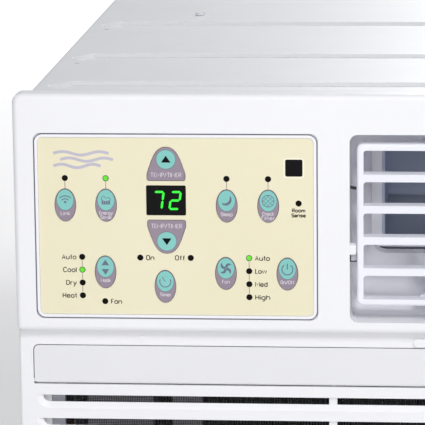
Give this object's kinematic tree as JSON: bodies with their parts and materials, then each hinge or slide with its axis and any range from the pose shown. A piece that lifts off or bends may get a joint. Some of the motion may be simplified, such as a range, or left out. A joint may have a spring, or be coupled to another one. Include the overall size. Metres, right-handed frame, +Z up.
{
  "type": "window air conditioner",
  "caption": "Room air conditioner with a key panel, tilting louvred outlet, slotted intake with filter door, steel cover and rear coil.",
  "frame": {"origin": "centre of the footprint on the surface that the base pan stands on", "axes": "+X to the right as the user faces the front, -Y out of the front towards the room, +Z up"},
  "size_m": [0.616, 0.576, 0.3827],
  "materials": {
    "white_plastic": "moulded white plastic, semi-gloss",
    "filter_grey": "light grey moulded plastic",
    "filter_mesh": "fine dark nylon mesh",
    "beige_film": "printed beige polyester film",
    "window_black": "black tinted window",
    "digit_green": "lit green bars",
    "lens_dark": "dark unlit lens",
    "lens_green": "lit green lens",
    "button_mauve": "soft mauve key cap with a teal centre",
    "board_green": "solder-masked board",
    "switch_black": "black switch body",
    "duct_plastic": "light grey moulded plastic",
    "fan_plastic": "black moulded plastic",
    "shroud_steel": "pre-coated grey sheet",
    "bright_steel": "ground steel",
    "motor_paint": "dark motor enamel",
    "galvanised": "galvanised sheet with spangle",
    "cabinet_paint": "white powder coat on sheet steel",
    "guard_paint": "white coated wire",
    "fin_aluminium": "pressed aluminium fins",
    "copper": "copper tube",
    "black_paint": "black gloss enamel",
    "rubber_black": "black rubber",
    "can_aluminium": "drawn aluminium can",
    "screw_zinc": "zinc-plated screws"
  },
  "bodies": {
    "chassis": {"front_panel": "white_plastic", "control_bezel": "white_plastic", "control_overlay": "beige_film", "display_window": "window_black", "display_digits": "digit_green", "receiver_window": "window_black", "indicator_lenses_dark": "lens_dark", "indicator_lenses_lit": "lens_green", "control_board": "board_green", "tact_switches": "switch_black", "discharge_duct": "duct_plastic", "scroll_housing": "duct_plastic", "condenser_shroud": "shroud_steel", "fan_motor": "motor_paint", "motor_bracket": "galvanised", "cabinet": "cabinet_paint", "base_pan": "galvanised", "bulkhead": "galvanised", "rear_guard": "guard_paint", "evaporator_fins": "fin_aluminium", "condenser_fins": "fin_aluminium", "coil_return_bends": "copper", "drain_tray": "duct_plastic", "compressor_shell": "black_paint", "compressor_grommets": "rubber_black", "accumulator": "black_paint", "discharge_pipe": "copper", "suction_pipe": "copper", "capillary_tube": "copper", "control_box": "galvanised", "run_capacitor": "can_aluminium", "heater_element": "bright_steel", "cord_gland": "rubber_black", "cabinet_screws": "screw_zinc"},
    "filter_door": {"filter_door": "white_plastic"},
    "air_filter": {"air_filter_frame": "filter_grey", "air_filter_mesh": "filter_mesh"},
    "rotor": {"blower_wheel": "fan_plastic", "motor_shaft": "bright_steel", "condenser_fan": "fan_plastic"},
    "louver_left": {"louver_frame_left": "white_plastic"},
    "vane_left_1": {"vane_left_1": "white_plastic"},
    "vane_left_2": {"vane_left_2": "white_plastic"},
    "vane_left_3": {"vane_left_3": "white_plastic"},
    "link_left": {"vane_link_left": "white_plastic"},
    "louver_right": {"louver_frame_right": "white_plastic"},
    "vane_right_1": {"vane_right_1": "white_plastic"},
    "vane_right_2": {"vane_right_2": "white_plastic"},
    "vane_right_3": {"vane_right_3": "white_plastic"},
    "link_right": {"vane_link_right": "white_plastic"},
    "key_connect": {"button_connect": "button_mauve"},
    "key_energy": {"button_energy": "button_mauve"},
    "key_sleep": {"button_sleep": "button_mauve"},
    "key_filter": {"button_filter": "button_mauve"},
    "key_mode": {"button_mode": "button_mauve"},
    "key_timer": {"button_timer": "button_mauve"},
    "key_fan": {"button_fan": "button_mauve"},
    "key_power": {"button_power": "button_mauve"},
    "key_up": {"button_up": "button_mauve"},
    "key_down": {"button_down": "button_mauve"}
  },
  "joints": [
    {"name": "filter_door_hinge", "type": "hinge", "parent": "chassis", "child": "filter_door", "pos_m": [0, -0.276, 0.1683], "axis": [1, 0, 0], "range_deg": [0, 75]},
    {"name": "air_filter_lift", "type": "slide", "parent": "chassis", "child": "air_filter", "axis": [0, 0, 1], "range_m": [0, 0.012]},
    {"name": "rotor_spin", "type": "hinge", "parent": "chassis", "child": "rotor", "pos_m": [0.06, 0, 0.172], "axis": [0, 1, 0], "continuous": true},
    {"name": "louver_left_tilt", "type": "hinge", "parent": "chassis", "child": "louver_left", "pos_m": [0.02275, -0.279, 0.2694], "axis": [1, 0, 0], "range_deg": [-12, 12]},
    {"name": "vane_left_1_turn", "type": "hinge", "parent": "louver_left", "child": "vane_left_1", "pos_m": [-0.00825, -0.265, 0.288], "axis": [0, 0, 1], "range_deg": [-35, 35]},
    {"name": "vane_left_turn", "type": "hinge", "parent": "louver_left", "child": "vane_left_2", "pos_m": [0.02275, -0.265, 0.288], "axis": [0, 0, 1], "range_deg": [-35, 35]},
    {"name": "vane_left_3_turn", "type": "hinge", "parent": "louver_left", "child": "vane_left_3", "pos_m": [0.05375, -0.265, 0.288], "axis": [0, 0, 1], "range_deg": [-35, 35]},
    {"name": "vane_left_link_slide", "type": "slide", "parent": "louver_left", "child": "link_left", "axis": [1, 0, 0], "range_m": [-0.0072, 0.0072]},
    {"name": "louver_right_tilt", "type": "hinge", "parent": "chassis", "child": "louver_right", "pos_m": [0.20325, -0.279, 0.2694], "axis": [1, 0, 0], "range_deg": [-12, 12]},
    {"name": "vane_right_1_turn", "type": "hinge", "parent": "louver_right", "child": "vane_right_1", "pos_m": [0.17225, -0.265, 0.288], "axis": [0, 0, 1], "range_deg": [-35, 35]},
    {"name": "vane_right_turn", "type": "hinge", "parent": "louver_right", "child": "vane_right_2", "pos_m": [0.20325, -0.265, 0.288], "axis": [0, 0, 1], "range_deg": [-35, 35]},
    {"name": "vane_right_3_turn", "type": "hinge", "parent": "louver_right", "child": "vane_right_3", "pos_m": [0.23425, -0.265, 0.288], "axis": [0, 0, 1], "range_deg": [-35, 35]},
    {"name": "vane_right_link_slide", "type": "slide", "parent": "louver_right", "child": "link_right", "axis": [1, 0, 0], "range_m": [-0.0072, 0.0072]},
    {"name": "key_connect_press", "type": "slide", "parent": "chassis", "child": "key_connect", "axis": [0, 1, 0], "range_m": [0, 0.0008], "stiffness_N_per_m": 800, "springref_m": -0.0006},
    {"name": "key_energy_press", "type": "slide", "parent": "chassis", "child": "key_energy", "axis": [0, 1, 0], "range_m": [0, 0.0008], "stiffness_N_per_m": 800, "springref_m": -0.0006},
    {"name": "key_sleep_press", "type": "slide", "parent": "chassis", "child": "key_sleep", "axis": [0, 1, 0], "range_m": [0, 0.0008], "stiffness_N_per_m": 800, "springref_m": -0.0006},
    {"name": "key_filter_press", "type": "slide", "parent": "chassis", "child": "key_filter", "axis": [0, 1, 0], "range_m": [0, 0.0008], "stiffness_N_per_m": 800, "springref_m": -0.0006},
    {"name": "key_mode_press", "type": "slide", "parent": "chassis", "child": "key_mode", "axis": [0, 1, 0], "range_m": [0, 0.0008], "stiffness_N_per_m": 800, "springref_m": -0.0006},
    {"name": "key_timer_press", "type": "slide", "parent": "chassis", "child": "key_timer", "axis": [0, 1, 0], "range_m": [0, 0.0008], "stiffness_N_per_m": 800, "springref_m": -0.0006},
    {"name": "key_fan_press", "type": "slide", "parent": "chassis", "child": "key_fan", "axis": [0, 1, 0], "range_m": [0, 0.0008], "stiffness_N_per_m": 800, "springref_m": -0.0006},
    {"name": "key_power_press", "type": "slide", "parent": "chassis", "child": "key_power", "axis": [0, 1, 0], "range_m": [0, 0.0008], "stiffness_N_per_m": 800, "springref_m": -0.0006},
    {"name": "key_up_press", "type": "slide", "parent": "chassis", "child": "key_up", "axis": [0, 1, 0], "range_m": [0, 0.0008], "stiffness_N_per_m": 800, "springref_m": -0.0006},
    {"name": "key_down_press", "type": "slide", "parent": "chassis", "child": "key_down", "axis": [0, 1, 0], "range_m": [0, 0.0008], "stiffness_N_per_m": 800, "springref_m": -0.0006}
  ],
  "couplings": [
    {"joint": "vane_left_1_turn", "follows": "vane_left_turn", "ratio": 1},
    {"joint": "vane_left_3_turn", "follows": "vane_left_turn", "ratio": 1},
    {"joint": "vane_left_link_slide", "follows": "vane_left_turn", "m_per_rad": -0.0115},
    {"joint": "vane_right_1_turn", "follows": "vane_right_turn", "ratio": 1},
    {"joint": "vane_right_3_turn", "follows": "vane_right_turn", "ratio": 1},
    {"joint": "vane_right_link_slide", "follows": "vane_right_turn", "m_per_rad": -0.0115}
  ]
}
